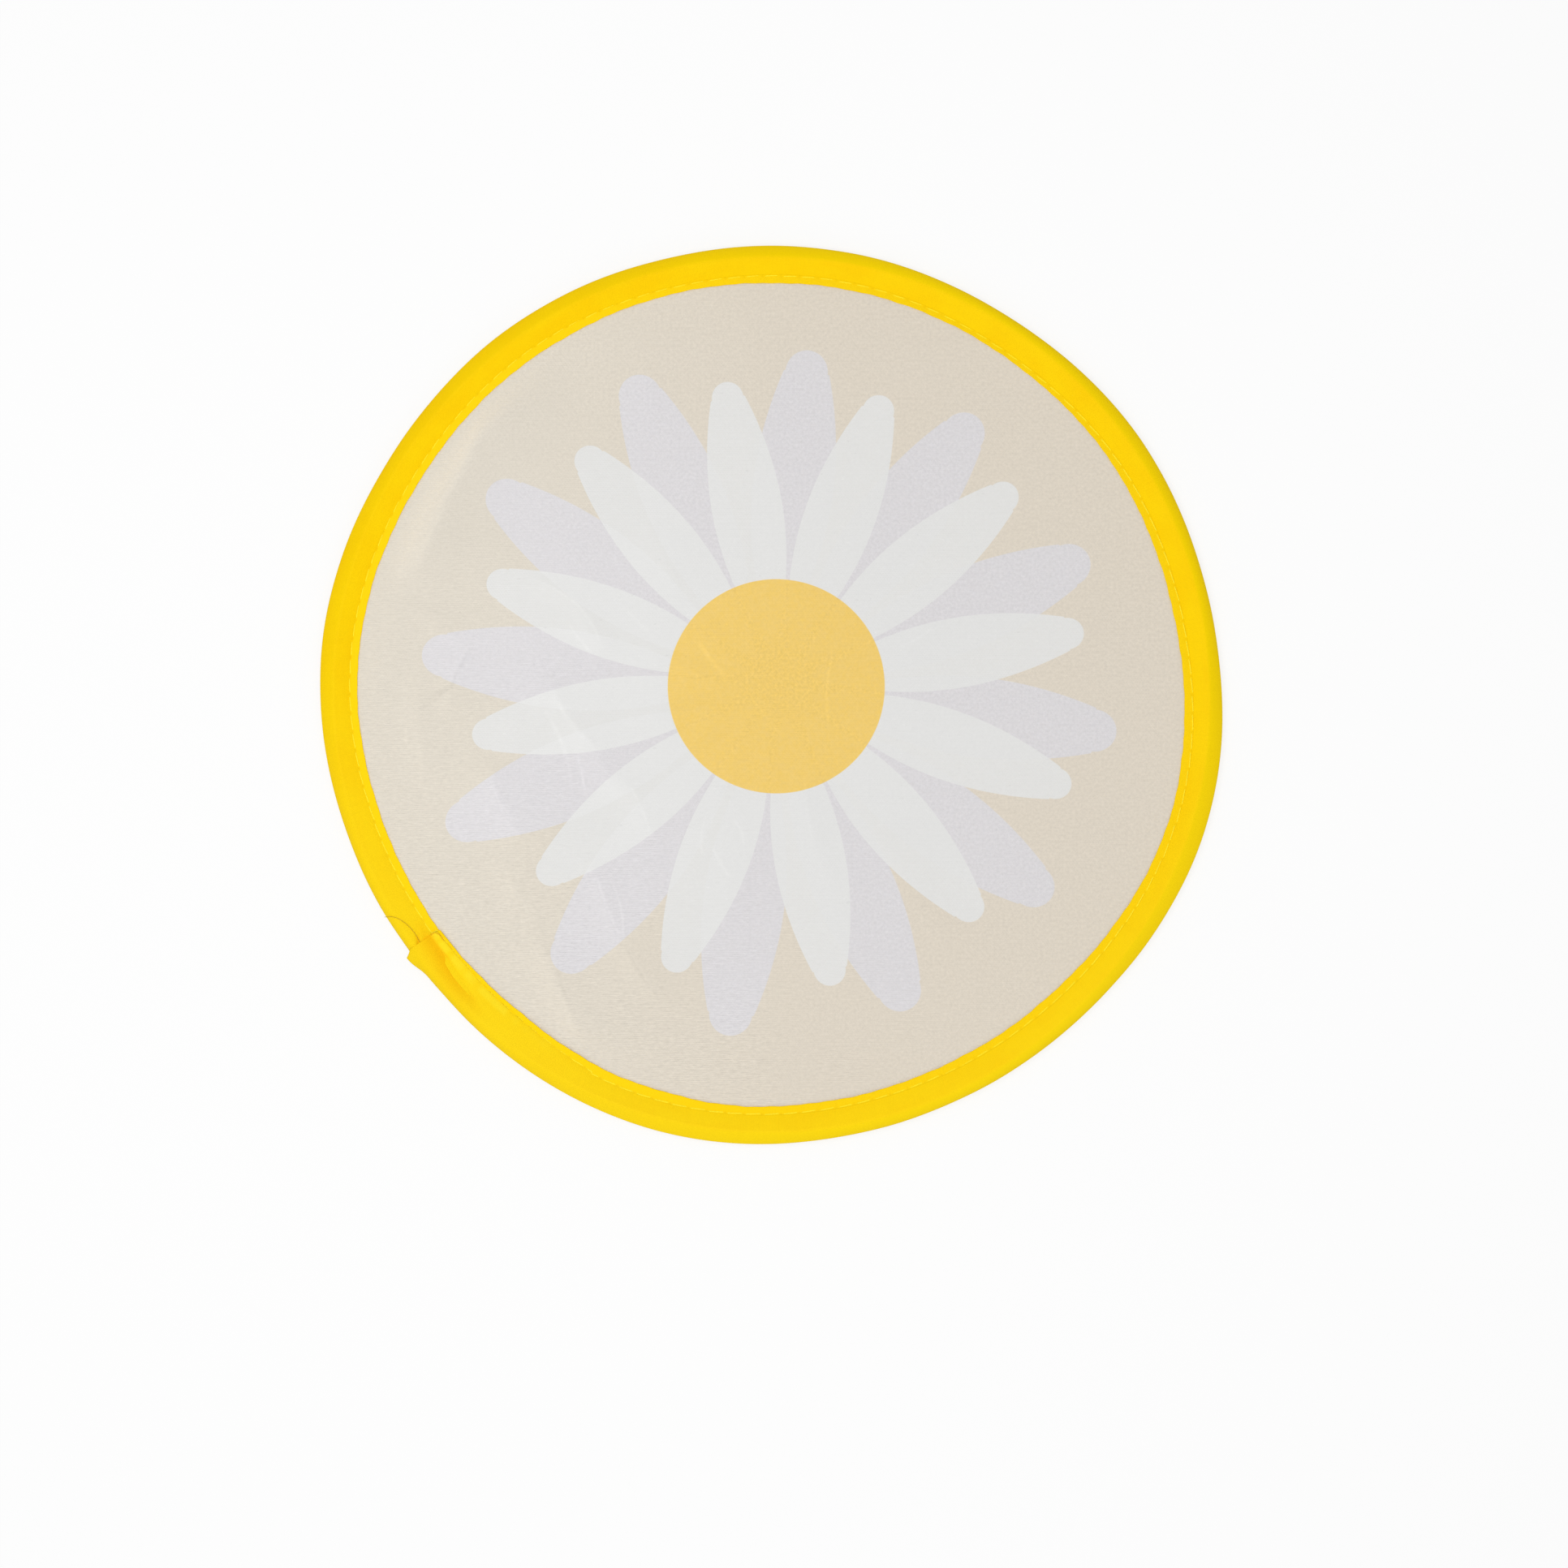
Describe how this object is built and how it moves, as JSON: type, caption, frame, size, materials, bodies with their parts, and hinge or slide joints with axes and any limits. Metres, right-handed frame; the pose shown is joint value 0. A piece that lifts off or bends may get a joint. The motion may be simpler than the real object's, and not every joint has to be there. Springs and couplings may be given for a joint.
{
  "type": "twist-fold hand fan",
  "caption": "Round hand fan: printed cloth held taut by a springy flat-wire hoop inside a sewn edge binding; it twists down into small coils to fit a pocket.",
  "frame": {"origin": "centre of the underside, on the plane that the rim rests on", "axes": "+Z out of the printed face, +Y to the top of the print, +X to the print's right"},
  "size_m": [0.2, 0.2, 0.0044],
  "materials": {
    "printed_cloth": "fine plain weave, printed",
    "yellow_tape": "dense dyed ribbon",
    "spring_steel": "tempered, smooth rolled",
    "sleeve_steel": "plain, crimped"
  },
  "bodies": {
    "cover": {"edge_binding": "yellow_tape", "fabric_panel": "printed_cloth"},
    "hoop": {"spring_hoop": "spring_steel", "splice_ferrule": "sleeve_steel"}
  },
  "joints": [
    {"name": "hoop_slip", "type": "hinge", "parent": "cover", "child": "hoop", "pos_m": [0, 0, 0.0022], "axis": [0, 0, 1], "continuous": true}
  ]
}
